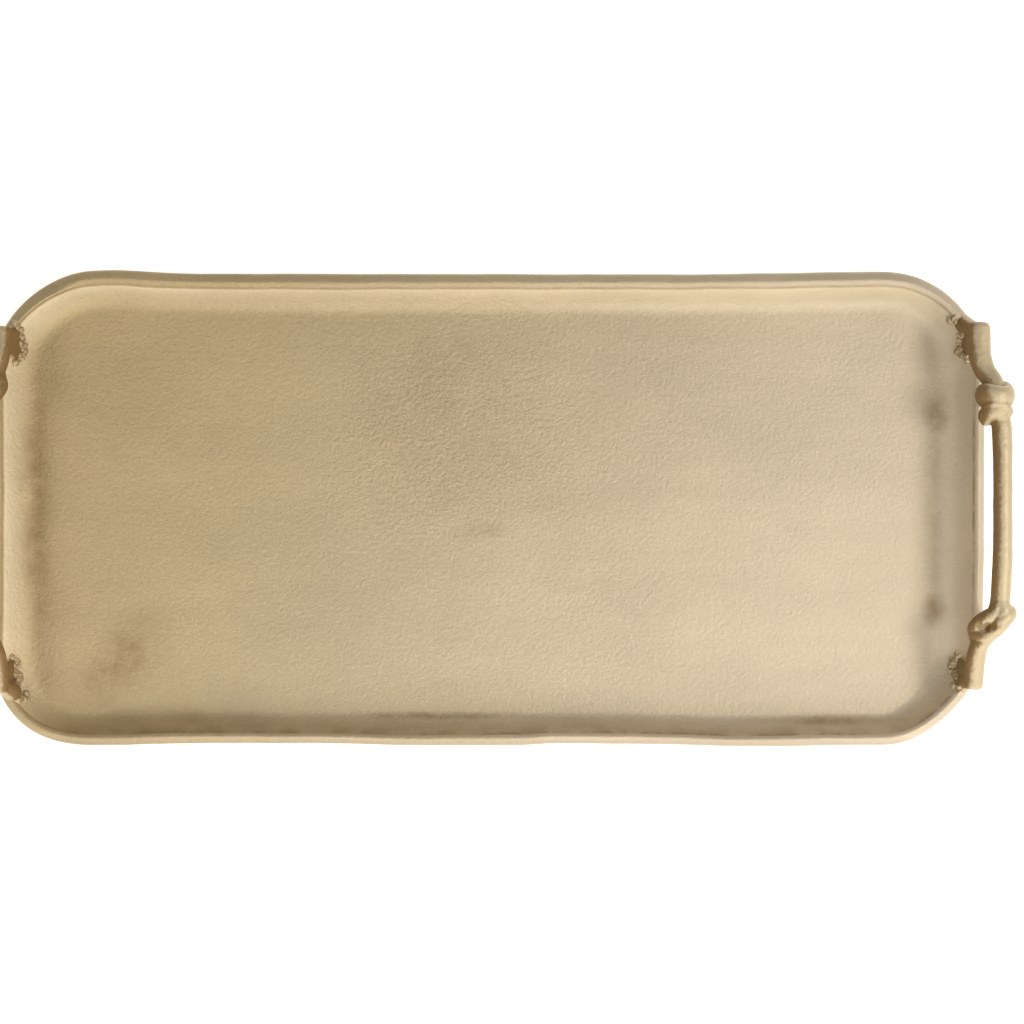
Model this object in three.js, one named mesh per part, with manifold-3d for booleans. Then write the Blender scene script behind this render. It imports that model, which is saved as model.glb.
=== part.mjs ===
// Cast brass serving tray: one shallow dished casting with a rounded lip, a knotted-branch handle
// welded across each short end, and four felt pads under the floor.
// Millimetres. +X runs along the tray, +Y to its rear long side, +Z up. The origin is on the table,
// under the middle of the tray.

import * as THREE from 'three';
import { LoftGeometry } from 'three/addons/geometries/LoftGeometry.js';
import { mergeVertices } from 'three/addons/utils/BufferGeometryUtils.js';
import Module from 'manifold-3d';

const wasm = await Module();
wasm.setup();

// Driving dimensions of the tray casting
const TRAY_LENGTH = 586;
const TRAY_WIDTH = 282;
const CORNER_RADIUS = 60;
const LIP_TOP = 22;
const LIP_WIDTH = 6.5;
const LIP_DEPTH = 6;
const LIP_OVERHANG = 2.5;
const LIP_EDGE_HEIGHT = 2.3;
const WALL_RUN_ENDS = 20;
const WALL_RUN_SIDES = 15;
const WALL_CURVE = 2.2;
const FLOOR_THICKNESS = 3;
const CORNER_STEPS = 10;
const WALL_STEPS = 7;

// The rounded lip: insets from its outer edge and heights from its crest, up the outer side, over
// the top, and down the inner side, where the last one closes the cut above the crest
const LIP_OUTER_SIDE = [
  { inset: 0.6, height: -4.6 },
  { inset: 0, height: -3 },
];
const LIP_OUTER_ROLL = [
  { inset: 0.7, height: -1.2 },
  { inset: 2.6, height: 0 },
];
const LIP_INNER_ROLL = [
  { inset: 5.5, height: -0.8 },
  { inset: 2.3, height: 0.8 },
];

// Felt pads
const PAD_RADIUS = 9;
const PAD_HEIGHT = 2;
const PAD_X = 215;
const PAD_Y = 88;
const PAD_SIDES = 24;

// Handles
const GRIP_RADIUS = 5.9;
const TAIL_RADIUS = 6;
const TAIL_END_RADIUS = 4.2;
const ROD_SIDES = 12;
const ROD_STEPS = 44;
const KNOT_BAND_RADIUS = 5;
const KNOT_BAND_SIDES = 8;
const KNOT_BAND_STEPS = 14;

// Legs under the handles, heights from the lip's crest
const HANDLE_INSET = 3.5;
const LEG_SIDES = 14;
const LEG_TOP_HEIGHT = 13.5;
const LEG_WAIST_HEIGHT = 4;
const LEG_WAIST_SWAY = 1;
const LEG_ANKLE_HEIGHT = -8;
const LEG_FOOT_HEIGHT = -17;
const LEG_TOP = { acrossEnd: 4.8, alongEnd: 8.8 };
const LEG_WAIST = { acrossEnd: 3.1, alongEnd: 8 };
const LEG_ANKLE = { acrossEnd: 3.3, alongEnd: 9.6 };
const LEG_FOOT = { acrossEnd: 3.8, alongEnd: 10.4 };

// Weld metal at the feet
const WELD_HALF_WIDTH = 5.2;
const WELD_HALF_LENGTH = 12.6;
const WELD_HALF_HEIGHT = 3.4;
const WELD_SLOPE = 40;
const WELD_OFFSET = 4.4;
const WELD_HEIGHT = -10.6;
const WELD_SIDES = 16;
const WELD_RINGS = 10;

// Gap kept where a welded piece is fitted to its neighbour
const FIT_GAP = 0.3;

// Points closer than this are one point
const MERGE_DISTANCE = 1e-4;

const brass = new THREE.MeshStandardMaterial({ color: 0xc9b184, roughness: 0.42, metalness: 1 });
const weldBrass = new THREE.MeshStandardMaterial({ color: 0xd8c190, roughness: 0.36, metalness: 1 });
const felt = new THREE.MeshStandardMaterial({ color: 0x2c2722, roughness: 0.95, metalness: 0 });

function toSolid(geometry) {
  const bare = new THREE.BufferGeometry();
  bare.setAttribute('position', geometry.attributes.position);
  bare.setIndex(geometry.index);
  const merged = mergeVertices(bare, MERGE_DISTANCE);
  return new wasm.Manifold(new wasm.Mesh({
    numProp: 3,
    vertProperties: new Float32Array(merged.attributes.position.array),
    triVerts: new Uint32Array(merged.index.array),
  }));
}

function toGeometry(solid) {
  const mesh = solid.getMesh();
  const geometry = new THREE.BufferGeometry();
  geometry.setAttribute('position', new THREE.BufferAttribute(mesh.vertProperties, 3));
  geometry.setIndex(new THREE.BufferAttribute(mesh.triVerts, 1));
  geometry.computeVertexNormals();
  return geometry;
}

function largestPiece(solid) {
  const pieces = solid.decompose();
  pieces.sort((a, b) => b.volume() - a.volume());
  return pieces[0];
}

// Level outline of the tray, inset from the lip's outer edge by one amount at the ends and another
// along the sides. Its corner arcs keep one centre, so insets turn them into quarter ellipses.
function trayOutline(insetEnds, insetSides, z) {
  const centreX = TRAY_LENGTH / 2 - CORNER_RADIUS;
  const centreY = TRAY_WIDTH / 2 - CORNER_RADIUS;
  const points = [];
  for (let corner = 0; corner < 4; corner += 1) {
    const signX = corner === 0 || corner === 3 ? 1 : -1;
    const signY = corner < 2 ? 1 : -1;
    for (let step = 0; step <= CORNER_STEPS; step += 1) {
      const angle = (corner + step / CORNER_STEPS) * Math.PI / 2;
      points.push(new THREE.Vector3(
        signX * centreX + (CORNER_RADIUS - insetEnds) * Math.cos(angle),
        signY * centreY + (CORNER_RADIUS - insetSides) * Math.sin(angle),
        z,
      ));
    }
  }
  return points;
}

// Outlines of a coved wall, from the floor's edge up to the lip. The wall leaves the floor level and
// steepens all the way up.
function coveOutlines(insetAtTop, bottomZ, topZ) {
  const outlines = [];
  for (let step = 0; step <= WALL_STEPS; step += 1) {
    const climb = step / WALL_STEPS;
    const rise = climb ** WALL_CURVE;
    outlines.push(trayOutline(
      insetAtTop + WALL_RUN_ENDS * (1 - climb),
      insetAtTop + WALL_RUN_SIDES * (1 - climb),
      bottomZ + (topZ - bottomZ) * rise,
    ));
  }
  return outlines;
}

function loftSolid(sections) {
  return toSolid(new LoftGeometry(sections, { capStart: true, capEnd: true }));
}

// The dished casting. A gap above zero makes its inside surfaces that much thicker, for cutting
// the pieces that are fitted against them.
function trayShell(gap) {
  const outer = coveOutlines(LIP_OVERHANG, PAD_HEIGHT, LIP_TOP - LIP_DEPTH);
  for (const { inset, height } of LIP_OUTER_SIDE) {
    outer.push(trayOutline(inset, inset, LIP_TOP + height));
  }
  for (const { inset, height } of LIP_OUTER_ROLL) {
    outer.push(trayOutline(inset, inset, LIP_TOP + height + gap));
  }
  const inner = coveOutlines(LIP_WIDTH + gap, PAD_HEIGHT + FLOOR_THICKNESS + gap, LIP_TOP - LIP_EDGE_HEIGHT);
  for (const { inset, height } of LIP_INNER_ROLL) {
    inner.push(trayOutline(inset + gap, inset + gap, LIP_TOP + height + gap));
  }
  return loftSolid(outer).subtract(loftSolid(inner));
}

// Right-hand handle in its own frame: origin on the crest of the lip in the middle of the tray's
// end, +X outwards, +Y along the end, +Z up. Each entry is a place on the rod's axis and its radius.
const rodPath = [
  { x: -3.1, y: 107.1, z: 12.8, radius: TAIL_END_RADIUS },
  { x: -3.1, y: 104.4, z: 13.2, radius: TAIL_RADIUS },
  { x: -2.9, y: 88, z: 16.2, radius: TAIL_RADIUS },
  { x: 3, y: 74.6, z: 20.4, radius: 5.5 },
  { x: 6.2, y: 60, z: 24.4, radius: GRIP_RADIUS },
  { x: 8, y: 44, z: 26.4, radius: GRIP_RADIUS },
  { x: 8.4, y: 4, z: 27.4, radius: GRIP_RADIUS },
  { x: 7.4, y: -46, z: 26.6, radius: GRIP_RADIUS },
  { x: 2.8, y: -66, z: 23.4, radius: GRIP_RADIUS },
  { x: -3.4, y: -79, z: 19, radius: 5.5 },
  { x: -5.7, y: -90, z: 15.9, radius: TAIL_RADIUS },
  { x: -6.3, y: -103, z: 13.2, radius: TAIL_RADIUS },
  { x: -6.5, y: -105.8, z: 12.8, radius: TAIL_END_RADIUS },
];

// The bands of the two knots: centre, the ring's radius, how far the band spreads to each side of
// it, then how far the ring leans round Z and tips round X, in degrees.
const knotBands = [
  { x: 4.8, y: 65.4, z: 23.2, ring: 7.5, spread: 6.6, lean: 3, tip: 8 },
  { x: 4, y: 54.6, z: 24.2, ring: 5.8, spread: 5.3, lean: 10, tip: -8 },
  { x: 4.8, y: -66.4, z: 23.6, ring: 7.2, spread: 5, lean: 40, tip: -6 },
  { x: 0, y: -67, z: 22.8, ring: 7.2, spread: 5, lean: 36, tip: 8 },
];

// The legs under the rod's two tails: each is waisted between its tail and its foot on the wall.
// The gusset runs from the end of the tail down on to the lip, through these level ellipses.
const legs = [
  {
    name: 'rear',
    tail: { x: -3.6, y: 98.6 },
    foot: { x: -6.5, y: 98.5 },
    gusset: [
      { x: -9.6, y: 109, z: -4, acrossEnd: 5, alongEnd: 6 },
      { x: -8.4, y: 108, z: 0, acrossEnd: 4.9, alongEnd: 5.1 },
      { x: -6.6, y: 106, z: 4, acrossEnd: 4.8, alongEnd: 4.8 },
      { x: -3.4, y: 102.4, z: 12.6, acrossEnd: 5, alongEnd: 4.6 },
    ],
  },
  {
    name: 'front',
    tail: { x: -6.2, y: -96.6 },
    foot: { x: -9.5, y: -97.7 },
    gusset: [
      { x: -9.8, y: -103.4, z: -4, acrossEnd: 4, alongEnd: 5 },
      { x: -8.8, y: -102.4, z: 0, acrossEnd: 4, alongEnd: 4.6 },
      { x: -7.4, y: -101, z: 6, acrossEnd: 4, alongEnd: 4.4 },
      { x: -6.4, y: -99.6, z: 12.4, acrossEnd: 4.6, alongEnd: 4.8 },
    ],
  },
];

function rodSolid() {
  const axis = new THREE.CatmullRomCurve3(rodPath.map((p) => new THREE.Vector3(p.x, p.y, p.z)));
  const size = new THREE.CatmullRomCurve3(rodPath.map((p) => new THREE.Vector3(p.radius, 0, 0)));
  const up = new THREE.Vector3(0, 0, 1);
  const sections = [];
  for (let step = 0; step <= ROD_STEPS; step += 1) {
    const t = step / ROD_STEPS;
    const centre = axis.getPoint(t);
    const radius = size.getPoint(t).x;
    const along = axis.getTangent(t);
    const side = new THREE.Vector3().crossVectors(up, along).normalize();
    const over = new THREE.Vector3().crossVectors(along, side);
    const section = [];
    for (let k = 0; k < ROD_SIDES; k += 1) {
      const angle = k / ROD_SIDES * 2 * Math.PI;
      section.push(centre.clone()
        .addScaledVector(side, radius * Math.cos(angle))
        .addScaledVector(over, radius * Math.sin(angle)));
    }
    sections.push(section);
  }
  return loftSolid(sections);
}

function knotBandSolid(band) {
  const geometry = new THREE.TorusGeometry(band.ring, KNOT_BAND_RADIUS, KNOT_BAND_SIDES, KNOT_BAND_STEPS);
  geometry.rotateX(Math.PI / 2);
  geometry.scale(1, band.spread / KNOT_BAND_RADIUS, 1);
  geometry.rotateX(THREE.MathUtils.degToRad(band.tip));
  geometry.rotateZ(THREE.MathUtils.degToRad(band.lean));
  geometry.translate(band.x, band.y, band.z);
  return toSolid(geometry);
}

function ellipseOutline(x, y, z, { acrossEnd, alongEnd }, gap) {
  const points = [];
  for (let k = 0; k < LEG_SIDES; k += 1) {
    const angle = k / LEG_SIDES * 2 * Math.PI;
    points.push(new THREE.Vector3(
      x + (acrossEnd + gap) * Math.cos(angle),
      y + (alongEnd + gap) * Math.sin(angle),
      z,
    ));
  }
  return points;
}

function legSolid(leg, gap) {
  const waistX = (leg.tail.x + leg.foot.x) / 2 - LEG_WAIST_SWAY;
  const waistY = (leg.tail.y + leg.foot.y) / 2;
  return loftSolid([
    ellipseOutline(leg.foot.x, leg.foot.y, LEG_FOOT_HEIGHT, LEG_FOOT, gap),
    ellipseOutline(leg.foot.x, leg.foot.y, LEG_ANKLE_HEIGHT, LEG_ANKLE, gap),
    ellipseOutline(waistX, waistY, LEG_WAIST_HEIGHT, LEG_WAIST, gap),
    ellipseOutline(leg.tail.x, leg.tail.y, LEG_TOP_HEIGHT, LEG_TOP, gap),
  ]);
}

function gussetSolid(leg) {
  return loftSolid(leg.gusset.map((g) => ellipseOutline(g.x, g.y, g.z, g, 0)));
}

// Place a solid made in the handle's frame at the right-hand end of the tray.
const handlePlace = [TRAY_LENGTH / 2 - HANDLE_INSET, 0, LIP_TOP];

function handleSolid() {
  let solid = rodSolid();
  for (const band of knotBands) {
    solid = solid.add(knotBandSolid(band));
  }
  for (const leg of legs) {
    solid = solid.add(legSolid(leg, 0)).add(gussetSolid(leg));
  }
  return largestPiece(solid.translate(handlePlace).subtract(trayShell(FIT_GAP)));
}

// Weld metal: a flattened lump along the inner side of a leg's foot, lying on the end wall.
function weldSolid(leg) {
  const geometry = new THREE.SphereGeometry(1, WELD_SIDES, WELD_RINGS);
  geometry.scale(WELD_HALF_WIDTH, WELD_HALF_LENGTH, WELD_HALF_HEIGHT);
  geometry.rotateY(THREE.MathUtils.degToRad(-WELD_SLOPE));
  geometry.translate(leg.foot.x - WELD_OFFSET, leg.foot.y, WELD_HEIGHT);
  const lump = toSolid(geometry).subtract(legSolid(leg, FIT_GAP));
  return largestPiece(lump.translate(handlePlace).subtract(trayShell(FIT_GAP)));
}

function padGeometry() {
  const geometry = new THREE.CylinderGeometry(PAD_RADIUS, PAD_RADIUS, PAD_HEIGHT, PAD_SIDES);
  geometry.rotateX(Math.PI / 2);
  geometry.translate(0, 0, PAD_HEIGHT / 2);
  return geometry;
}

function addMesh(parent, name, geometry, material) {
  const mesh = new THREE.Mesh(geometry, material);
  mesh.name = name;
  parent.add(mesh);
  return mesh;
}

const group = new THREE.Group();
addMesh(group, 'tray_body', toGeometry(trayShell(0)), brass);

// Both ends take the same handle: the left-hand one is the same pattern turned half round.
const handleGeometry = toGeometry(handleSolid());
const weldGeometries = legs.map((leg) => toGeometry(weldSolid(leg)));
for (const end of ['right', 'left']) {
  const side = new THREE.Group();
  side.rotation.z = end === 'left' ? Math.PI : 0;
  group.add(side);
  addMesh(side, `handle_${end}`, handleGeometry, brass);
  legs.forEach((leg, i) => {
    const opposite = leg.name === 'rear' ? 'front' : 'rear';
    const place = end === 'left' ? opposite : leg.name;
    addMesh(side, `weld_${end}_${place}`, weldGeometries[i], weldBrass);
  });
}

for (const [name, x, y] of [
  ['pad_right_rear', PAD_X, PAD_Y],
  ['pad_left_rear', -PAD_X, PAD_Y],
  ['pad_left_front', -PAD_X, -PAD_Y],
  ['pad_right_front', PAD_X, -PAD_Y],
]) {
  addMesh(group, name, padGeometry(), felt).position.set(x, y, 0);
}

export default group;
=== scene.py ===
import math
import random
import bmesh
import bpy
from mathutils import Matrix, Vector, noise


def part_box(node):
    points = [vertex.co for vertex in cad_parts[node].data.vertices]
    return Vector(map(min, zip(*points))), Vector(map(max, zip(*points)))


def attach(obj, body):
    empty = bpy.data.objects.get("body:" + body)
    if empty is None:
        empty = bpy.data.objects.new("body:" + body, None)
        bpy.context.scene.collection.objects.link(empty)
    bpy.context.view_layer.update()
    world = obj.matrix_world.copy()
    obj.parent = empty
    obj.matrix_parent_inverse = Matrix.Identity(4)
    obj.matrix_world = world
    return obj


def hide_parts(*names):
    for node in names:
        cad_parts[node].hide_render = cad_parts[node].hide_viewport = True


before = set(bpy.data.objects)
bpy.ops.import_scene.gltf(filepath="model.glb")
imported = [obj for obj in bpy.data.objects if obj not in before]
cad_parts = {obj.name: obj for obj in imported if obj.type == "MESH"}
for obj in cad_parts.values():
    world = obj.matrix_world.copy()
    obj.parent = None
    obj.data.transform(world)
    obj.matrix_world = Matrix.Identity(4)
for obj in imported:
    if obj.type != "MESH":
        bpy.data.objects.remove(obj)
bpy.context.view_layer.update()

mm = 0.001
trayLow, trayHigh = (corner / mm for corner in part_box("tray_body"))
print("frame loaded:", len(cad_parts), "nodes")


# ---- camera, straight above the tray and a little to the right of its middle
shot = {"lensHeight": 1500, "widthSeen": 602.7, "aimX": 14.1, "aimY": -2.4}


def makeCamera():
    lens = bpy.data.cameras.new("topCamera")
    lens.sensor_width = 36
    lens.lens = lens.sensor_width * shot["lensHeight"] / shot["widthSeen"]
    lens.clip_end = 50
    camera = bpy.data.objects.new("topCamera", lens)
    camera.location = Vector((shot["aimX"], shot["aimY"], trayHigh.z + shot["lensHeight"])) * mm
    bpy.context.scene.collection.objects.link(camera)
    bpy.context.scene.camera = camera


makeCamera()


# ---- shared helpers
def smoothStep(low, high, value):
    t = min(1, max(0, (value - low) / (high - low)))
    return t * t * (3 - 2 * t)


def curveThrough(rows, t):
    # a smooth curve through rows of numbers, t runs from 0 to len(rows) - 1
    i = min(int(t), len(rows) - 2)
    f = t - i
    before, a, b = rows[max(i - 1, 0)], rows[i], rows[i + 1]
    after = rows[min(i + 2, len(rows) - 1)]
    return [
        0.5 * (2 * q + (r - p) * f + (2 * p - 5 * q + 4 * r - s) * f * f + (3 * q - p - 3 * r + s) * f ** 3)
        for p, q, r, s in zip(before, a, b, after)
    ]


def valueAlong(rows, place):
    # rows of (place, value), eased from one row to the next
    if place <= rows[0][0]:
        return rows[0][1]
    for (start, low), (end, high) in zip(rows, rows[1:]):
        if place <= end:
            return low + (high - low) * smoothStep(start, end, place)
    return rows[-1][1]


def meshObject(name, points, faces):
    mesh = bpy.data.meshes.new(name)
    mesh.from_pydata([Vector(p) * mm for p in points], [], faces)
    mesh.update()
    piece = bpy.data.objects.new(name, mesh)
    bpy.context.scene.collection.objects.link(piece)
    return piece


def addLayer(piece, name, values):
    piece.data.attributes.new(name, "FLOAT", "POINT").data.foreach_set("value", values)


def smoothShade(piece):
    piece.data.polygons.foreach_set("use_smooth", [True] * len(piece.data.polygons))


def weldPoints(piece, distance):
    mesh = bmesh.new()
    mesh.from_mesh(piece.data)
    bmesh.ops.remove_doubles(mesh, verts=mesh.verts, dist=distance * mm)
    bmesh.ops.recalc_face_normals(mesh, faces=mesh.faces)
    mesh.to_mesh(piece.data)
    mesh.free()


def place(piece, node, slot, material):
    piece.data.materials.clear()
    piece.data.materials.append(material)
    smoothShade(piece)
    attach(piece, "root")
    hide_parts(node)


# ---- material building
def addNode(tree, kind, settings=None, **inputs):
    made = tree.nodes.new(kind)
    for key, value in (settings or {}).items():
        setattr(made, key, value)
    for key, value in inputs.items():
        socket = made.inputs[key.replace("_", " ")]
        if isinstance(value, bpy.types.NodeSocket):
            tree.links.new(value, socket)
        else:
            socket.default_value = value
    return made


def stretched(tree, coords, scale, turn=0):
    return addNode(tree, "ShaderNodeMapping", None, Vector=coords, Scale=scale,
                   Rotation=(0, 0, turn)).outputs["Vector"]


def noiseOf(tree, coords, scale, detail=3, rough=0.55, warp=0):
    made = addNode(tree, "ShaderNodeTexNoise", None, Vector=coords, Scale=scale, Detail=detail,
                   Roughness=rough, Distortion=warp)
    return made.outputs[0]


def remap(tree, value, fromLow, fromHigh, toLow=0, toHigh=1, shape="SMOOTHSTEP"):
    made = addNode(tree, "ShaderNodeMapRange", {"interpolation_type": shape}, Value=value)
    limits = {"From Min": fromLow, "From Max": fromHigh, "To Min": toLow, "To Max": toHigh}
    for key, number in limits.items():
        made.inputs[key].default_value = number
    return made.outputs[0]


def combine(tree, kind, a, b, c=None):
    made = addNode(tree, "ShaderNodeMath", {"operation": kind})
    for socket, value in zip(made.inputs, (a, b, c)):
        if isinstance(value, bpy.types.NodeSocket):
            tree.links.new(value, socket)
        elif value is not None:
            socket.default_value = value
    return made.outputs[0]


def blend(tree, amount, first, second, kind="MIX"):
    made = addNode(tree, "ShaderNodeMix", {"data_type": "RGBA", "blend_type": kind})
    for socket, value in zip((made.inputs[0], made.inputs[6], made.inputs[7]), (amount, first, second)):
        if isinstance(value, bpy.types.NodeSocket):
            tree.links.new(value, socket)
        elif isinstance(value, tuple):
            socket.default_value = (*value, 1)
        else:
            socket.default_value = value
    return made.outputs[2]


def newMaterial(name):
    material = bpy.data.materials.new(name)
    material.use_nodes = True
    tree = material.node_tree
    return material, tree, tree.nodes["Principled BSDF"]


def spot(tree, coords, middle, size, turn, soft):
    # one inside an oval patch, fading to none over its rim
    shifted = addNode(tree, "ShaderNodeVectorMath", {"operation": "SUBTRACT"})
    tree.links.new(coords, shifted.inputs[0])
    shifted.inputs[1].default_value = (middle[0] * mm, middle[1] * mm, 0)
    oval = addNode(tree, "ShaderNodeMapping", {"vector_type": "TEXTURE"}, Vector=shifted.outputs[0],
                   Rotation=(0, 0, turn), Scale=(size[0] * mm, size[1] * mm, 1))
    flat = addNode(tree, "ShaderNodeVectorMath", {"operation": "MULTIPLY"})
    tree.links.new(oval.outputs[0], flat.inputs[0])
    flat.inputs[1].default_value = (1, 1, 0)
    far = addNode(tree, "ShaderNodeVectorMath", {"operation": "LENGTH"})
    tree.links.new(flat.outputs[0], far.inputs[0])
    return remap(tree, far.outputs["Value"], 1, 1 - soft)


brassLook = {
    "left": (0.515, 0.390, 0.205),    # yellower towards the left-hand end, and darker there as painted shade
    "right": (0.655, 0.548, 0.395),    # paler and pinker towards the right, and lighter there as painted light
    "handle": (0.60, 0.475, 0.285),
    # colour of tarnish and stains, also used for the painted shade and shadows
    "tarnishAndShade": (0.30, 0.20, 0.09),
    "bright": (0.97, 0.84, 0.60),
    "roughness": 0.54,
    "metal": 0.5,
    "frontPaintedLight": 1.06, "rearPaintedShade": 0.93,    # painted shade: the tone also drops a little from front to rear
    # painted shade on the outside of the front lip
    "frontLipPaintedShade": 0.82,
    "pebbled": ((-24, 44), (120, 95)),   # where the skin is coarsest, middle and half size
    "waxAndShade": (0.24, 0.135, 0.040),     # old dark wax left where hands and cloths don't reach, with painted shade on the inward sides
    "endSpan": (-0.36, 0.30),        # where the left tone starts to turn into the right one, in metres
    "endSlant": -0.5,                # and how far that change leans from rear to front
    "depthSpan": (-0.12, 0.12),      # front and rear limits of the drop in tone
    "frontLip": (-0.1385, -0.1335),
    "spotFade": 0.9,
    # soft stains in the finish, painted shadows of the handles and a painted dark reflection: middle, half
    # size, turn, strength
    "stainsAndShadows": [
        # a painted dark reflection over the middle of the floor, towards the rear
        ((-30, 52), (74, 100), 0.25, 0.13),
        ((6, 30), (60, 40), 0.1, 0.12),
        ((-20, 92), (84, 54), 0, 0.15),
        # a dark smudge low on the left of the floor
        ((-220, -92), (50, 25), 0.85, 0.54),
        ((-8, -14), (26, 8), 0.1, 0.25),
        # painted shadows of the right handle's knots and rod on the floor
        ((266.5, 56.5), (11, 17), 0, 0.62),
        ((265, -60.5), (10, 15), 0, 0.60),
        ((264, 0), (9, 84), 0, 0.24),
        # painted shadows of the left handle's knots
        ((-268, 58), (9, 18), 0, 0.42),
        ((-268, -54), (8, 15), 0, 0.38),
        # painted shadow band low on the left wall
        ((-271, 0), (16, 124), 0, 0.62),
        ((-190, -124), (75, 8), 0, 0.45),
        ((-30, -123.5), (74, 3.5), 0, 0.80),
        ((200, -126), (66, 5), 0, 0.60),
    ],
}


def makeBrass(name, tarnishAndShadeAmount, grainHeight, brightEdges, waxAndShadeAmount):
    material, tree, shader = newMaterial(name)
    coords = addNode(tree, "ShaderNodeTexCoord").outputs["Object"]
    split = addNode(tree, "ShaderNodeSeparateXYZ", None, Vector=coords)
    slant = combine(tree, "MULTIPLY_ADD", split.outputs["Y"], brassLook["endSlant"], split.outputs["X"])
    # the left tone is darker as well as yellower: painted shade towards the left end on top of the real
    # yellower tone
    endToEndToneAndShade = remap(tree, slant, *brassLook["endSpan"])

    # broad tone: end to end, with painted shade towards the left, streaks along the tray, clouds, and
    # painted shade towards the rear and on the front lip
    streaks = noiseOf(tree, stretched(tree, coords, (8, 36, 36)), 1, detail=5, rough=0.6)
    clouds = noiseOf(tree, coords, 13, detail=5, rough=0.6, warp=0.5)
    tone = blend(tree, endToEndToneAndShade, brassLook["left"], brassLook["right"])
    if waxAndShadeAmount:
        tone = blend(tree, 0.75, tone, brassLook["handle"])
    streakShade = remap(tree, streaks, 0.30, 0.70, 0.95, 1.04, "LINEAR")
    cloudShade = remap(tree, clouds, 0.25, 0.75, 0.94, 1.05, "LINEAR")
    shade = combine(tree, "MULTIPLY", streakShade, cloudShade)
    # painted shade: darker towards the rear, lighter towards the front
    paintedFrontToRearShade = remap(tree, split.outputs["Y"], *brassLook["depthSpan"],
                        brassLook["frontPaintedLight"], brassLook["rearPaintedShade"])
    shade = combine(tree, "MULTIPLY", shade, paintedFrontToRearShade)
    # painted shade on the outside of the front lip
    paintedFrontLipShade = remap(tree, split.outputs["Y"], *brassLook["frontLip"], brassLook["frontLipPaintedShade"], 1)
    shade = combine(tree, "MULTIPLY", shade, paintedFrontLipShade)

    # stains, painted shadows and a painted dark reflection, broken up by noise
    ragged = noiseOf(tree, coords, 38, detail=6, rough=0.68)
    stainAndShadow = None
    for middle, size, turn, strength in brassLook["stainsAndShadows"]:
        patch = spot(tree, coords, middle, size, turn, brassLook["spotFade"])
        broken = remap(tree, ragged, 0.3, 0.7, 0.35 * strength, strength * 1.45)
        patch = combine(tree, "MULTIPLY", patch, broken)
        stainAndShadow = patch if stainAndShadow is None else combine(tree, "MAXIMUM", stainAndShadow, patch)

    # hollows hold tarnish, edges are rubbed bright, the lip's crease holds dirt and painted shade, and the
    # upper rear and left walls get painted light
    bent = addNode(tree, "ShaderNodeNewGeometry").outputs["Pointiness"]
    hollow = remap(tree, bent, 0.492, 0.462)
    edge = remap(tree, bent, 0.515, 0.58)
    patchy = remap(tree, noiseOf(tree, coords, 160, detail=4), 0.3, 0.7, 0.5, 1)
    crease = addNode(tree, "ShaderNodeAttribute", {"attribute_name": "crease"}).outputs["Fac"]
    paintedWallLight = addNode(tree, "ShaderNodeAttribute", {"attribute_name": "paintedWallLight"}).outputs["Fac"]
    creaseBreakup = remap(tree, noiseOf(tree, coords, 70, detail=5), 0.38, 0.62, 0.15, 0.8)
    darkening = combine(tree, "MULTIPLY", crease, creaseBreakup)
    dark = combine(tree, "MAXIMUM", combine(tree, "MULTIPLY", hollow, patchy), stainAndShadow)
    dark = combine(tree, "MAXIMUM", dark, darkening)
    dark = combine(tree, "MULTIPLY", dark, tarnishAndShadeAmount)
    tinted = blend(tree, dark, tone, brassLook["tarnishAndShade"])
    # painted light on the upper rear and left walls, along with edges rubbed bright
    wearAndPaintedLight = combine(tree, "MAXIMUM", combine(tree, "MULTIPLY", edge, brightEdges), paintedWallLight)
    tinted = blend(tree, wearAndPaintedLight, tinted, brassLook["bright"])

    # dark wax and painted shade on faces that look towards the middle of the tray, thinning out in ragged
    # patches
    facing = addNode(tree, "ShaderNodeSeparateXYZ", None,
                     Vector=addNode(tree, "ShaderNodeTexCoord").outputs["Normal"])
    inward = combine(tree, "MULTIPLY", facing.outputs["X"], combine(tree, "SIGN", split.outputs["X"], 0))
    torn = combine(tree, "MULTIPLY_ADD", noiseOf(tree, coords, 240, detail=5, rough=0.7), 0.7, inward)
    waxAndShade = combine(tree, "MULTIPLY", remap(tree, torn, 0.16, -0.22), waxAndShadeAmount)
    tinted = blend(tree, waxAndShade, tinted, brassLook["waxAndShade"])

    # fine speckle left by the sand
    speckle = noiseOf(tree, coords, 1500, detail=2, rough=0.7)
    coarse = spot(tree, coords, *brassLook["pebbled"], 0.2, brassLook["spotFade"])
    calmer = remap(tree, split.outputs["X"], 0, 0.2, 1, 0.6)
    pebbled = combine(tree, "MULTIPLY", remap(tree, coarse, 0, 1, 1, 2), calmer)
    speckle = combine(tree, "MULTIPLY", combine(tree, "SUBTRACT", speckle, 0.5), pebbled)
    speckleShade = remap(tree, speckle, -0.5, 0.5, 0.76, 1.24, "LINEAR")
    shade = combine(tree, "MULTIPLY", shade, speckleShade)
    grey = addNode(tree, "ShaderNodeCombineColor", None, Red=shade, Green=shade, Blue=shade)
    colour = blend(tree, 1.0, tinted, grey.outputs[0], "MULTIPLY")
    tree.links.new(colour, shader.inputs["Base Color"])

    rough = remap(tree, clouds, 0.3, 0.7, brassLook["roughness"] - 0.03, brassLook["roughness"] + 0.05)
    rough = combine(tree, "ADD", rough, combine(tree, "MULTIPLY", dark, 0.2))
    tree.links.new(rough, shader.inputs["Roughness"])
    shader.inputs["Metallic"].default_value = brassLook["metal"]

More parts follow.
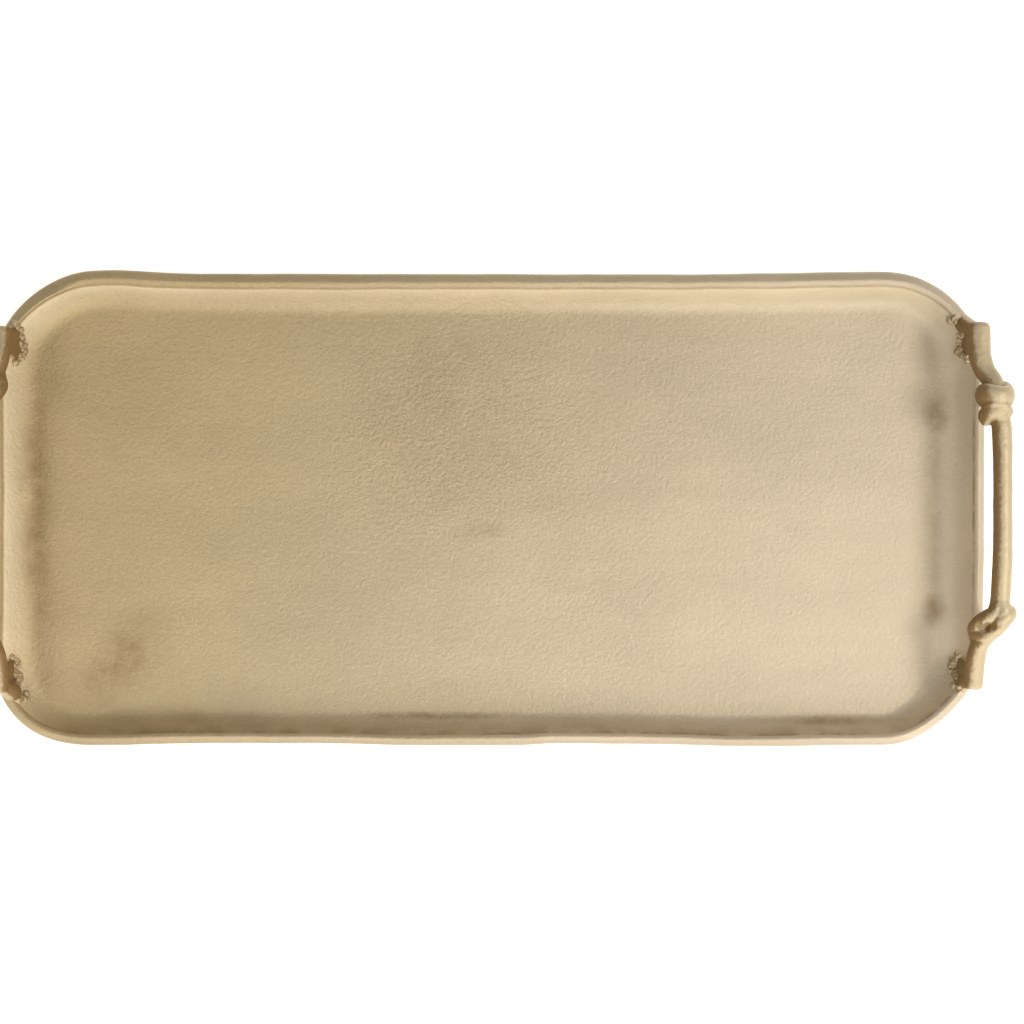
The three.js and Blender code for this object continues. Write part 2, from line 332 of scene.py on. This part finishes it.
    # orange-peel skin of a sand casting, in two sizes
    peel = combine(tree, "MULTIPLY", noiseOf(tree, coords, 420, detail=3, rough=0.6), pebbled)
    fine = combine(tree, "MULTIPLY", noiseOf(tree, coords, 1100, detail=2, rough=0.6), pebbled)
    deep = addNode(tree, "ShaderNodeBump", None, Strength=grainHeight, Distance=0.0012, Height=peel)
    both = addNode(tree, "ShaderNodeBump", None, Strength=grainHeight * 0.8, Distance=0.0005, Height=fine,
                   Normal=deep.outputs[0])
    tree.links.new(both.outputs[0], shader.inputs["Normal"])
    return material


feltLook = {"dark": (0.018, 0.015, 0.013), "light": (0.075, 0.066, 0.058)}


def makeFelt():
    material, tree, shader = newMaterial("pressedFelt")
    coords = addNode(tree, "ShaderNodeTexCoord").outputs["Object"]
    fibres = noiseOf(tree, coords, 900, detail=5, rough=0.7, warp=2.5)
    lumps = noiseOf(tree, coords, 260, detail=3)
    fibreShare = combine(tree, "MULTIPLY", fibres, 0.65)
    mixed = combine(tree, "ADD", fibreShare, combine(tree, "MULTIPLY", lumps, 0.35))
    colour = blend(tree, remap(tree, mixed, 0.32, 0.68), feltLook["dark"], feltLook["light"])
    tree.links.new(colour, shader.inputs["Base Color"])
    shader.inputs["Roughness"].default_value = 0.95
    shader.inputs["Sheen Weight"].default_value = 0.35
    shader.inputs["Sheen Roughness"].default_value = 0.5
    bump = addNode(tree, "ShaderNodeBump", None, Strength=0.7, Distance=0.0005, Height=fibres)
    tree.links.new(bump.outputs[0], shader.inputs["Normal"])
    return material


trayBrass = makeBrass("trayBrass", 0.9, 0.5, 0.5, 0)
handleBrass = makeBrass("handleBrass", 1.0, 0.5, 0.4, 0.9)
weldBrass = makeBrass("weldBrass", 1.0, 0.5, 0.8, 0.5)
felt = makeFelt()
print("materials made")


# ---- tray casting
tray = {
    "corner": 60, "runEnds": 20, "runRear": 15, "runFront": 11.5, "wallCurve": 2.2, "floorThickness": 3,
    "lipRight": 5.8, "lipRear": 8.0, "lipLeft": 5.2, "lipFront": 6.2,
    "cornerSteps": 44, "longSteps": 206, "shortSteps": 76,
    "outerSteps": 10, "lipSteps": 24, "coveSteps": 22, "floorSteps": 46, "baseSteps": 12,
    # how far the hand-dressed edge falls short of its full size, along each side in turn
    "rearDip": [(-260, 1.6), (-224, 0.5), (-168, 2.6), (120, 2.9), (170, 2.2), (225, 1.4), (260, 1.2)],
    "frontDip": [(-230, 0.7), (-168, 1.9), (-100, 1.9), (-46, 0.7), (16, 0.7), (40, 1.9), (80, 1.5),
                 (160, 0.1), (215, 0.8)],
    "rightDip": [(-90, 0.3), (-55, 0.6), (-20, 0), (60, -0.2), (90, 0)],
    "leftDip": [(-90, 0.2), (0, 0.9), (90, 0.4)],
    "cornerDip": [0.2, 1.5, -3.2, 3.2],
    "ripple": 0.2,
    "crestWander": 0.25,
    "wallTopDrop": 2.4,    # how far the wall's top edge lies below the crest, near the handles
    # section of the lip: fraction of its width from the outer edge, height below the crest
    "lipSection": [(0.34, -6.4), (0.12, -5.6), (0.01, -4.4), (0.02, -3.3), (0.14, -2.1), (0.34, -1.1),
                   (0.54, -0.3), (0.68, 0), (0.83, -0.35), (0.95, -1.0), (1.03, -1.6), (1.1, -2.3)],
    # the same round the rear left corner, where it's rolled outwards
    "rolledSection": [(0.34, -6.4), (0.12, -5.6), (0.01, -4.6), (0.02, -3.9), (0.12, -3.1), (0.30, -2.2),
                      (0.50, -1.4), (0.70, -0.7), (0.86, -0.2), (0.98, 0), (1.06, -0.8), (1.1, -2.3)],
}
floorTop = trayLow.z + tray["floorThickness"]
coreX = trayHigh.x - tray["corner"]
coreY = trayHigh.y - tray["corner"]


def traySamples():
    # each sample is the point that its corner arc turns about, and its outward direction
    corners = [(1, 1), (-1, 1), (-1, -1), (1, -1)]
    samples = []
    for k, (sx, sy) in enumerate(corners):
        for step in range(tray["cornerSteps"]):
            angle = (k + step / tray["cornerSteps"]) * math.pi / 2
            samples.append((sx * coreX, sy * coreY, math.cos(angle), math.sin(angle)))
        nx, ny = corners[(k + 1) % 4]
        steps = tray["longSteps"] if ny == sy else tray["shortSteps"]
        angle = (k + 1) * math.pi / 2
        for step in range(steps):
            t = step / steps
            samples.append((coreX * (sx + (nx - sx) * t), coreY * (sy + (ny - sy) * t),
                            math.cos(angle), math.sin(angle)))
    return samples


def edgeDip(x, y, dx, dy):
    side = valueAlong(tray["rearDip"] if dy > 0 else tray["frontDip"], x)
    end = valueAlong(tray["rightDip"] if dx > 0 else tray["leftDip"], y)
    quarter = (0 if dx > 0 else 1) if dy > 0 else (2 if dx < 0 else 3)
    ripple = tray["ripple"] * (1 + noise.noise(Vector((x, y, 0)) * 0.06))
    return side * dy * dy + end * dx * dx + tray["cornerDip"][quarter] * (2 * dx * dy) ** 2 + ripple


def lipWidth(x, y, dx, dy):
    side = tray["lipRear"] if dy > 0 else tray["lipFront"]
    end = tray["lipRight"] if dx > 0 else tray["lipLeft"]
    return (side * dy * dy + end * dx * dx) * (1 + 0.06 * noise.noise(Vector((x, y, 40)) * 0.035))


def floorHeight(x, y):
    broad = noise.noise(Vector((x * 0.009, y * 0.016, 1.7))) * 0.30
    middle = noise.noise(Vector((x * 0.03, y * 0.045, 5.1))) * 0.10
    small = noise.noise(Vector((x * 0.11, y * 0.13, 9.3))) * 0.035
    return broad + middle + small


def trayCasting():
    samples = traySamples()
    lipCount = tray["lipSteps"] + 1
    lipStart, lipFoot = tray["lipSection"][0]
    lipEnd, lipInside = tray["lipSection"][-1]
    # how much dark dirt and painted shade sits at each step across the lip and just inside it
    creaseOf = [smoothStep(0.84, 0.97, i / (lipCount - 1)) for i in range(lipCount)]
    columns, creases, paintedWallLights = [], [], []
    for cx, cy, dx, dy in samples:
        dip = edgeDip(cx + tray["corner"] * dx, cy + tray["corner"] * dy, dx, dy)
        lip = lipWidth(cx, cy, dx, dy)
        outer = Vector((cx + dx * tray["corner"], cy + dy * tray["corner"], 80))
        crest = trayHigh.z - tray["crestWander"] * (1 + noise.noise(outer * 0.03))

        softCorner = smoothStep(0, 0.6, (2 * dx * dy) ** 2) if dx < 0 < dy else 0
        runSide = tray["runRear"] if dy > 0 else tray["runFront"]

        def at(inset, run, z):
            x = cx + (tray["corner"] - dip - inset - tray["runEnds"] * run) * dx
            y = cy + (tray["corner"] - dip - inset - runSide * run) * dy
            return Vector((x, y, z))

        column = []
        for i in range(tray["outerSteps"]):
            climb = i / tray["outerSteps"]
            rise = climb ** tray["wallCurve"]
            column.append(at(lip * lipStart, 1 - climb, trayLow.z + (crest + lipFoot - trayLow.z) * rise))
        for i in range(lipCount):
            t = i / tray["lipSteps"] * (len(tray["lipSection"]) - 1)
            share, drop = curveThrough(tray["lipSection"], t)
            rolled = curveThrough(tray["rolledSection"], t)
            share += (rolled[0] - share) * softCorner
            drop += (rolled[1] - drop) * softCorner
            column.append(at(lip * share, 0, crest + drop))
        wallTop = crest + lipInside
        for i in range(1, tray["coveSteps"] + 1):
            climb = 1 - i / tray["coveSteps"]
            rise = climb ** tray["wallCurve"]
            wall = at(lip * lipEnd + 0.2, 1 - climb, floorTop + (wallTop - floorTop) * rise)
            wall.z += floorHeight(wall.x, wall.y) * (1 - rise)
            column.append(wall)
        # floor and underside close in on a short spine in the middle
        reach = trayHigh.x - trayHigh.y
        edge = column[-1].copy()
        spine = Vector((max(-reach, min(reach, edge.x)), 0, 0))
        for i in range(1, tray["floorSteps"] + 1):
            flat = edge.lerp(spine, i / tray["floorSteps"])
            column.append(Vector((flat.x, flat.y, floorTop + floorHeight(flat.x, flat.y))))
        under = column[0].copy()
        base = []
        for i in range(tray["baseSteps"]):
            flat = spine.lerp(under, i / tray["baseSteps"])
            base.append(Vector((flat.x, flat.y, trayLow.z)))
        columns.append(base + column)
        # the crease's dirt is strengthened by painted shade on the right and front, whose inner faces turn
        # away from the light
        dirtAndShadeBySide = 0.3 + 0.7 * max(0, dx) ** 2 + 0.7 * max(0, -dy) ** 2
        # painted light: the upper rear and left walls are painted brighter where the light falls on them
        paintedLitWall = max(0, dy) ** 2 + 0.9 * max(0, -dx) ** 2
        below = [0] * (tray["baseSteps"] + tray["outerSteps"])
        creases.append(below + [dirtAndShadeBySide * amount for amount in creaseOf]
                       # painted shade on the upper part of the front wall
                       + [0.6 * max(0, -dy) ** 2 * (1 - i / tray["coveSteps"]) ** 2.5
                          for i in range(1, tray["coveSteps"] + 1)]
                       + [0] * tray["floorSteps"])
        paintedWallLights.append(below + [0] * lipCount
                    + [paintedLitWall * (1 - i / tray["coveSteps"]) ** 2.4 for i in range(1, tray["coveSteps"] + 1)]
                    + [0] * tray["floorSteps"])
    deep = len(columns[0])
    points = [p for column in columns for p in column]
    faces = []
    for i in range(len(columns)):
        j = (i + 1) % len(columns)
        for k in range(deep - 1):
            faces.append((i * deep + k, j * deep + k, j * deep + k + 1, i * deep + k + 1))
    piece = meshObject("tray_casting", points, faces)
    addLayer(piece, "crease", [value for column in creases for value in column])
    addLayer(piece, "paintedWallLight", [value for column in paintedWallLights for value in column])
    weldPoints(piece, 0.01)
    return piece


place(trayCasting(), "tray_body", "cast_brass", trayBrass)
print("tray casting made")


# ---- handles, worked out in their own frame: origin on the crest of the lip at the middle of the
# right-hand end, x outwards and y towards the rear
handle = {
    "voxel": 0.6, "sides": 28, "rodLength": 216, "stepLength": 2.0,
    "bandSides": 20, "bandSteps": 40, "legSteps": 24, "lumps": 0.035, "pitDirt": 2.4,
    # the rod's axis x, y, z, its half width and half height, and how square its section is
    "rod": [
        (-3.1, 107, 12.8, 5.2, 3.6, 0.6), (-3.1, 105.4, 13.2, 6.6, 5.2, 0.6),
        (-3.1, 97, 14.6, 6.7, 5.3, 0.5),
        (-2.8, 88, 16.2, 6.6, 5.4, 0.35), (-0.4, 80, 18.2, 6.3, 5.2, 0.2), (3.1, 74.4, 20.5, 5.8, 5.1, 0.1),
        (5.6, 68, 22.8, 5.3, 5.2, 0), (6.4, 58, 24.8, 5.4, 5.4, 0), (8.0, 44, 26.2, 5.8, 5.7, 0),
        (8.3, 24, 27, 5.6, 5.6, 0), (8.3, 4, 27.3, 5.6, 5.5, 0), (8.4, -18, 27.2, 5.7, 5.6, 0),
        (7.4, -46, 26.6, 5.9, 5.7, 0), (6.0, -58, 25.2, 5.7, 5.5, 0), (1.6, -68, 22.8, 5.4, 5.2, 0),
        (-3.4, -79, 19, 5.3, 5.1, 0.1), (-5.5, -88, 16.5, 5.7, 5.3, 0.3), (-6.0, -98, 14, 5.6, 5.2, 0.5),
        (-6.4, -103.6, 13.1, 5.6, 5.0, 0.6), (-6.5, -105.6, 12.8, 4.4, 3.6, 0.6),
    ],
    # closed bands round the upper knot: middle, ring radius, band radius, how far it spreads along the
    # rod, lean and tip in degrees
    "bands": [(4.6, 65.4, 23.2, 7.2, 5.2, 6.6, 3, 8), (3.9, 54.6, 24.2, 5.4, 4.8, 5.3, 10, -8)],
    # branches laid over the knots, each x, y, z and radius
    "wraps": [
        [(-2.6, 58, 27.5, 2.4), (0.8, 59.6, 30.6, 2.6), (5, 60.0, 31.6, 2.6), (8.8, 58.2, 31, 2.8),
         (11.2, 56, 28, 3.0), (11.6, 54.6, 24, 2.6)],
        [(-4.8, -82, 17.6, 4.4), (-2.4, -77.4, 21.2, 4.8), (0.4, -73.2, 24.6, 4.9), (3.8, -69.8, 27, 5.1),
         (7.4, -65.6, 28.4, 5.2), (11.0, -61.8, 27, 5.0), (11.8, -60.2, 22.4, 4.6), (8.2, -60.2, 17.6, 4.4),
         (1.6, -63.2, 16.2, 4.4), (-4.4, -67.4, 17.6, 4.3), (-5.6, -71.6, 19.4, 4.0)],
        [(6.8, -54, 26.6, 5.2), (8.2, -58.4, 27.4, 5.1), (7.8, -61.6, 28, 5), (5.8, -63.6, 27.6, 4.6),
         (3.2, -66, 25, 3.6)],
        [(-8.0, -72.6, 20.6, 3.2), (-5.4, -73.6, 24.0, 3.6), (-1.4, -73.8, 26.6, 3.5),
         (3.4, -71.8, 28.0, 3.3), (8.2, -67.2, 27.4, 3.2)],
        [(8.0, -48, 26, 4.6), (6.4, -55, 27.2, 4.6), (3.0, -61.4, 27.4, 4.6), (-2.2, -65.2, 25.8, 4.6),
         (-5.8, -68.0, 23.4, 4.6), (-6.7, -70.6, 21, 4.5), (-5.6, -74.5, 18, 4.2), (-4.6, -79, 17.5, 4)],
    ],
    # legs: tail end, waist and foot, each with middle and half widths across and along the end
    "legs": {
        "rear": [(-3.6, 98.6, 13, 5.0, 8.8), (-5.4, 98.8, 5, 3.2, 7.8), (-6.0, 98.6, -1, 3.0, 8.2),
                 (-6.4, 98.5, -8, 3.3, 9.4), (-6.6, 98.5, -17, 4.0, 10.4)],
        "front": [(-6.2, -96.6, 13, 4.6, 8.6), (-7.8, -97.2, 5, 3.0, 7.4), (-8.8, -97.6, -1, 2.9, 8.2),
                  (-9.4, -97.7, -8, 3.3, 9.8), (-9.6, -97.7, -17, 4.0, 10.6)],
    },
    # shallow pits in the hollow of the lower knot: middle, radius, depth
    "pits": [((-4.8, -68.0, 28), 3.8, 1.1), ((-1.2, -68.4, 29.4), 4.0, 1.7), ((2.4, -68.4, 30.6), 3.4, 1.5),
             ((5.2, -68.2, 31.4), 2.6, 0.9)],
    # the spread of metal that runs from each tail's end down on to the lip
    "aprons": {
        "rear": [(-3.4, 102.4, 12.6, 5.0, 4.6), (-4.6, 104, 8.5, 4.8, 4.6), (-6.6, 106, 4, 4.8, 4.8),
                 (-8.4, 108, 0, 4.9, 5.1), (-9.6, 109, -4, 5, 6)],
        "front": [(-6.4, -99.6, 12.4, 4.6, 4.8), (-7.4, -101, 6, 4, 4.4), (-8.8, -102.4, 0, 4, 4.6),
                  (-9.8, -103.4, -4, 4, 5)],
    },
}
lipCrest = Vector((trayHigh.x - 3.5, 0, trayHigh.z))


def ringFaces(start, count, sides, closed):
    faces = []
    for i in range(count if closed else count - 1):
        here = start + i * sides
        after = start + ((i + 1) % count) * sides
        for k in range(sides):
            n = (k + 1) % sides
            faces.append((here + k, here + n, after + n, after + k))
    if not closed:
        faces.append(tuple(start + k for k in reversed(range(sides))))
        faces.append(tuple(start + (count - 1) * sides + k for k in range(sides)))
    return faces


def addRings(points, faces, rings, closed=False):
    start = len(points)
    for ring in rings:
        points.extend(ring)
    faces.extend(ringFaces(start, len(rings), len(rings[0]), closed))


def squareness(angle, amount):
    # pulls a round section towards a rounded square
    c, s = abs(math.cos(angle)), abs(math.sin(angle))
    return 1 + amount * 0.22 * (1 / max(c, s) - 1)


def rodRings(seed):
    rows = handle["rod"]
    steps = int(handle["rodLength"] / handle["stepLength"])
    rings = []
    for i in range(steps + 1):
        t = i / steps * (len(rows) - 1)
        x, y, z, wide, tall, square = curveThrough(rows, t)
        ahead = Vector(curveThrough(rows, min(t + 0.02, len(rows) - 1))[:3])
        behind = Vector(curveThrough(rows, max(t - 0.02, 0))[:3])
        along = (ahead - behind).normalized()
        side = Vector((0, 0, 1)).cross(along).normalized()
        over = along.cross(side)
        middle = Vector((x, y, z))
        ring = []
        for k in range(handle["sides"]):
            angle = k / handle["sides"] * 2 * math.pi
            out = side * wide * math.cos(angle) + over * tall * math.sin(angle)
            lumpy = 1 + handle["lumps"] * noise.noise((middle + out) * 0.08 + Vector((0, 0, seed)))
            ring.append(middle + out * squareness(angle, square) * lumpy)
        rings.append(ring)
    return rings


def bandRings(band, seed):
    x, y, z, ringRadius, bandRadius, spread, lean, tip = band
    turn = Matrix.Rotation(math.radians(lean), 3, "Z") @ Matrix.Rotation(math.radians(tip), 3, "X")
    rings = []
    for i in range(handle["bandSteps"]):
        around = i / handle["bandSteps"] * 2 * math.pi
        outward = Vector((math.cos(around), 0, math.sin(around)))
        thick = bandRadius * (1 + 0.10 * noise.noise(outward * 1.3 + Vector((seed, 0, 0))))
        sway = 0.9 * math.sin(around * 2 + seed)
        ring = []
        for k in range(handle["bandSides"]):
            angle = k / handle["bandSides"] * 2 * math.pi
            local = outward * (ringRadius + thick * 0.85 * math.cos(angle))
            local += Vector((0, spread * math.sin(angle) + sway, 0))
            ring.append(Vector((x, y, z)) + turn @ local)
        rings.append(ring)
    return rings


def wrapRings(rows):
    rings = []
    steps = (len(rows) - 1) * 8
    for i in range(steps + 1):
        t = i / steps * (len(rows) - 1)
        middle = Vector(curveThrough(rows, t)[:3])
        radius = curveThrough(rows, t)[3]
        ahead = Vector(curveThrough(rows, min(t + 0.05, len(rows) - 1))[:3])
        behind = Vector(curveThrough(rows, max(t - 0.05, 0))[:3])
        along = (ahead - behind).normalized()
        if rings:
            side = (side - along * side.dot(along)).normalized()
        else:
            side = along.orthogonal().normalized()
        over = along.cross(side)
        ring = []
        for k in range(handle["bandSides"]):
            angle = k / handle["bandSides"] * 2 * math.pi
            ring.append(middle + (side * math.cos(angle) + over * math.sin(angle)) * radius)
        rings.append(ring)
    return rings


def legRings(rows):
    rings = []
    steps = handle["legSteps"]
    for i in range(steps + 1):
        x, y, z, acrossEnd, alongEnd = curveThrough(rows, i / steps * (len(rows) - 1))
        ring = []
        for k in range(handle["sides"]):
            angle = -k / handle["sides"] * 2 * math.pi
            ring.append(Vector((x + acrossEnd * math.cos(angle), y + alongEnd * math.sin(angle), z)))
        rings.append(ring)
    return rings


def fuse(piece, voxel, softening):
    # one watertight skin over overlapping solids, then eased like a casting
    skin = piece.modifiers.new("skin", "REMESH")
    skin.mode = "VOXEL"
    skin.voxel_size = voxel * mm
    ease = piece.modifiers.new("ease", "SMOOTH")
    ease.factor = 0.5
    ease.iterations = softening
    shown = piece.evaluated_get(bpy.context.evaluated_depsgraph_get())
    fused = bpy.data.meshes.new_from_object(shown)
    piece.modifiers.clear()
    piece.data = fused


def roughen(piece, layers, seed):
    # layers of (features per millimetre, height)
    mesh = piece.data
    directions = [vertex.normal.copy() for vertex in mesh.vertices]
    for vertex, direction in zip(mesh.vertices, directions):
        at = vertex.co / mm
        push = sum(height * noise.noise(at * often + Vector((seed, 0, 0))) for often, height in layers)
        vertex.co += direction * push * mm
    mesh.update()


def wallHeight(x, y, end):
    # height of the inner wall, below the crest, at a point in the handle's frame
    turn = -1 if end == "left" else 1
    x, y = turn * (lipCrest.x + x), turn * y
    over = Vector((abs(x) - coreX, abs(y) - coreY))
    if min(over) > 0:
        out, reach = over.normalized(), over.length
        edgeX, edgeY = coreX + tray["corner"] * out.x, coreY + tray["corner"] * out.y
    elif over.x > over.y:
        out, reach, edgeX, edgeY = Vector((1, 0)), over.x, trayHigh.x, abs(y)
    else:
        out, reach, edgeX, edgeY = Vector((0, 1)), over.y, abs(x), trayHigh.y
    dx, dy = math.copysign(out.x, x), math.copysign(out.y, y)
    inset = tray["corner"] - reach - edgeDip(math.copysign(edgeX, x), math.copysign(edgeY, y), dx, dy)
    inset -= lipWidth(x, y, dx, dy) * tray["lipSection"][-1][0]
    runSide = tray["runRear"] if y > 0 else tray["runFront"]
    run = tray["runEnds"] * out.x ** 2 + runSide * out.y ** 2
    climb = min(1, max(0, 1 - inset / run))
    wallTop = trayHigh.z - tray["wallTopDrop"]
    return floorTop + (wallTop - floorTop) * climb ** tray["wallCurve"] - trayHigh.z


def restOnWall(piece, sink, end):
    # nothing reaches deeper than this into the tray's wall, or it would show underneath
    for vertex in piece.data.vertices:
        x, y, z = vertex.co / mm
        if z < 2:
            vertex.co.z = max(z, wallHeight(x, y, end) - sink) * mm


def dentKnot(piece):
    # presses the pits in and notes how much dirt each point of the handle holds
    darkening = []
    for vertex in piece.data.vertices:
        at = vertex.co / mm
        near = [(smoothStep(radius, 0, (at - Vector(middle)).length), depth)
                for middle, radius, depth in handle["pits"]]
        vertex.co.z -= max(amount * depth for amount, depth in near) * mm
        darkening.append(min(1, handle["pitDirt"] * max(amount for amount, depth in near)))
    addLayer(piece, "crease", darkening)


def sendTo(end):
    half = Matrix.Rotation(math.pi, 4, "Z") if end == "left" else Matrix.Identity(4)
    return half @ Matrix.Translation(lipCrest * mm)


def makeHandle(end, seed):
    points, faces = [], []
    addRings(points, faces, rodRings(seed))
    for i, band in enumerate(handle["bands"]):
        addRings(points, faces, bandRings(band, seed + i), closed=True)
    for rows in handle["wraps"]:
        addRings(points, faces, wrapRings(rows))
    for rows in [*handle["legs"].values(), *handle["aprons"].values()]:
        addRings(points, faces, legRings(rows))
    piece = meshObject("handle_casting_" + end, points, faces)
    fuse(piece, handle["voxel"], 3)
    roughen(piece, [(0.10, 0.22), (0.45, 0.07), (1.3, 0.05)], seed)
    dentKnot(piece)
    restOnWall(piece, 1.2, end)
    piece.data.transform(sendTo(end))
    return piece


for end, seed in (("right", 3.0), ("left", 11.0)):
    place(makeHandle(end, seed), "handle_" + end, "cast_brass", handleBrass)
print("handles made")


# ---- weld metal along the inner side of the four feet
weld = {
    "voxel": 0.35, "blobs": 46, "scatter": 1.6, "size": (0.7, 2.4), "blobRings": 8, "blobSides": 12,
    "stand": 0.45,    # how proud of the wall a blob's middle sits, as a share of its radius
    # the line each bead follows, in the handle's frame
    "line": {
        "rear": [(-16.6, 109.6), (-14.8, 112.6), (-12.2, 111.4), (-11, 107.6), (-10.8, 103),
                 (-10.2, 98.5), (-10.4, 94), (-9.4, 90.4), (-7.2, 88.4)],
        "front": [(-10.8, -87.4), (-13.4, -90), (-13.9, -93.5), (-13.4, -97), (-13.2, -101), (-13, -105),
                  (-12, -108.4)],
    },
}


def blobRings(middle, radius):
    rings = []
    for i in range(1, weld["blobRings"]):
        lift = math.cos(i / weld["blobRings"] * math.pi)
        wide = math.sin(i / weld["blobRings"] * math.pi)
        ring = []
        for k in range(weld["blobSides"]):
            angle = -k / weld["blobSides"] * 2 * math.pi
            ring.append(middle + Vector((math.cos(angle) * wide, math.sin(angle) * wide, lift)) * radius)
        rings.append(ring)
    return rings


def makeWeld(end, part, seed):
    line = weld["line"][part]
    rand = random.Random(seed)
    points, faces = [], []
    for i in range(weld["blobs"]):
        x, y = curveThrough(line, i / (weld["blobs"] - 1) * (len(line) - 1))
        x += rand.uniform(-weld["scatter"], weld["scatter"])
        y += rand.uniform(-weld["scatter"], weld["scatter"])
        radius = rand.uniform(*weld["size"])
        z = wallHeight(x, y, end) + radius * weld["stand"]
        addRings(points, faces, blobRings(Vector((x, y, z)), radius))
    where = part if end == "right" else {"rear": "front", "front": "rear"}[part]
    piece = meshObject("weld_bead_" + end + "_" + where, points, faces)
    fuse(piece, weld["voxel"], 1)
    roughen(piece, [(0.5, 0.6), (1.4, 0.3)], seed)
    restOnWall(piece, 0.8, end)
    piece.data.transform(sendTo(end))
    place(piece, "weld_" + end + "_" + where, "weld_metal", weldBrass)


for number, (end, part) in enumerate((e, p) for e in ("right", "left") for p in ("rear", "front")):
    makeWeld(end, part, 20 + number)
print("welds made")


# ---- felt pads
pad = {"edge": 0.35, "around": 64, "ringsIn": 10}


def makePad(name, seed):
    low, high = (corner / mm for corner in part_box(name))
    middle = (low + high) / 2
    radius = (high.x - low.x) / 2
    columns = []
    for k in range(pad["around"]):
        angle = k / pad["around"] * 2 * math.pi
        fuzz = 0.18 * (1 + noise.noise(Vector((math.cos(angle), math.sin(angle), seed)) * 6))
        rim = radius - fuzz
        section = [(rim - 0.9, low.z), (rim - pad["edge"], low.z + 0.08), (rim, low.z + 0.45),
                   (rim - 0.05, high.z - 0.45), (rim - pad["edge"], high.z - 0.02), (rim - 0.9, high.z)]
        column = [(section[0][0] * i / pad["ringsIn"], low.z) for i in range(pad["ringsIn"])]
        column += section
        column += [(section[0][0] * i / pad["ringsIn"], high.z) for i in reversed(range(pad["ringsIn"]))]
        outX, outY = math.cos(angle), math.sin(angle)
        columns.append([(middle.x + r * outX, middle.y + r * outY, z) for r, z in column])
    deep = len(columns[0])
    points = [p for column in columns for p in column]
    faces = []
    for i in range(len(columns)):
        j = (i + 1) % len(columns)
        for k in range(deep - 1):
            faces.append((i * deep + k, j * deep + k, j * deep + k + 1, i * deep + k + 1))
    piece = meshObject("felt_" + name, points, faces)
    weldPoints(piece, 0.01)
    place(piece, name, "felt", felt)


for number, name in enumerate(("pad_right_rear", "pad_left_rear", "pad_left_front", "pad_right_front")):
    makePad(name, number)
print("pads made")


# ---- pale floor, studio light
studio = {
    "floorTone": (0.86, 0.85, 0.84), "floorGlow": 0.6,
    # what the metal mirrors: dim behind the tray, bright in front of it, and a bit brighter to the right
    "surround": (0.97, 0.97, 0.96), "rearLevel": 0.31, "frontLevel": 0.74, "rightLift": 0.16,
    "backdrop": 0.93,
    # name: place in metres, size, power, colour
    "lamps": {
        "rightBox": ((1.15, 0.0, 1.25), (0.34, 0.34), 8, (1.0, 0.97, 0.92)),
        "leftBox": ((-1.15, 0.0, 1.25), (0.36, 0.40), 3, (1.0, 0.96, 0.90)),
        "frontBox": ((0.20, -1.35, 0.90), (2.0, 0.9), 11, (1.0, 0.97, 0.93)),
        "topBox": ((1.05, -0.75, 2.60), (1.9, 1.8), 5, (1.0, 0.98, 0.95)),
    },
}


def makeStage():
    half = 5000
    corners = [(-half, -half, 0), (half, -half, 0), (half, half, 0), (-half, half, 0)]
    floor = meshObject("stageFloor", corners, [(0, 1, 2, 3)])
    material, tree, shader = newMaterial("paleFloor")
    shader.inputs["Base Color"].default_value = (*studio["floorTone"], 1)
    shader.inputs["Roughness"].default_value = 0.9
    shader.inputs["Emission Color"].default_value = (1, 1, 1, 1)
    shader.inputs["Emission Strength"].default_value = studio["floorGlow"]
    floor.data.materials.append(material)


def makeLights():
    world = bpy.data.worlds.new("paleRoom")
    world.use_nodes = True
    tree = world.node_tree
    room = tree.nodes["Background"]
    room.inputs["Color"].default_value = (*studio["surround"], 1)
    direction = addNode(tree, "ShaderNodeTexCoord").outputs["Generated"]
    facing = addNode(tree, "ShaderNodeSeparateXYZ", None, Vector=direction)
    level = remap(tree, facing.outputs["Y"], 0.75, -0.75, studio["rearLevel"], studio["frontLevel"])
    level = combine(tree, "MULTIPLY_ADD", facing.outputs["X"], studio["rightLift"], level)
    seen = addNode(tree, "ShaderNodeLightPath").outputs["Is Camera Ray"]
    level = combine(tree, "MAXIMUM", level, combine(tree, "MULTIPLY", seen, studio["backdrop"]))
    tree.links.new(level, room.inputs["Strength"])
    bpy.context.scene.world = world
    for name, (where, size, power, colour) in studio["lamps"].items():
        lamp = bpy.data.lights.new(name, "AREA")
        lamp.shape = "RECTANGLE"
        lamp.size, lamp.size_y = size
        lamp.energy = power
        lamp.color = colour
        thing = bpy.data.objects.new(name, lamp)
        thing.location = where
        thing.rotation_euler = (-Vector(where)).to_track_quat("-Z", "Y").to_euler()
        bpy.context.scene.collection.objects.link(thing)
    bpy.context.scene.view_settings.view_transform = "Standard"


makeStage()
makeLights()
print("stage and lights set")
